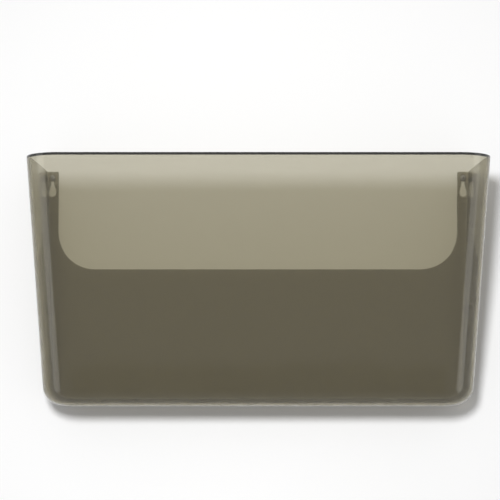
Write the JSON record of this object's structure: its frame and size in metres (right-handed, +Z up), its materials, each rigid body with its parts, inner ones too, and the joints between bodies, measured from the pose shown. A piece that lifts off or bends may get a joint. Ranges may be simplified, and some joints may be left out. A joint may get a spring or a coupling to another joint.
{
  "type": "hanging document pocket",
  "caption": "Open-topped wall pocket in smoke-tinted clear plastic, with a leaning front, a cut-out back and keyhole ears that hook over wall screws.",
  "frame": {"origin": "on the back of the pocket's rear wall, midway across and 50 mm above the underside", "axes": "+Z up, +X to the right as seen from the room, +Y into the wall, so the front of the pocket faces -Y"},
  "size_m": [0.3302, 0.1251, 0.1778],
  "materials": {
    "smoke_plastic": "clear smoke-tinted moulded polystyrene, glossy",
    "zinc_steel": "bright zinc plate",
    "anchor_nylon": "plain moulded nylon"
  },
  "bodies": {
    "wall_fixings": {"screw_left": "zinc_steel", "screw_right": "zinc_steel", "anchor_left": "anchor_nylon", "anchor_right": "anchor_nylon"},
    "pocket": {"pocket_body": "smoke_plastic"}
  },
  "joints": [
    {"name": "lift_off", "type": "slide", "parent": "wall_fixings", "child": "pocket", "axis": [0, 0, 1], "range_m": [0, 0.0113]}
  ]
}
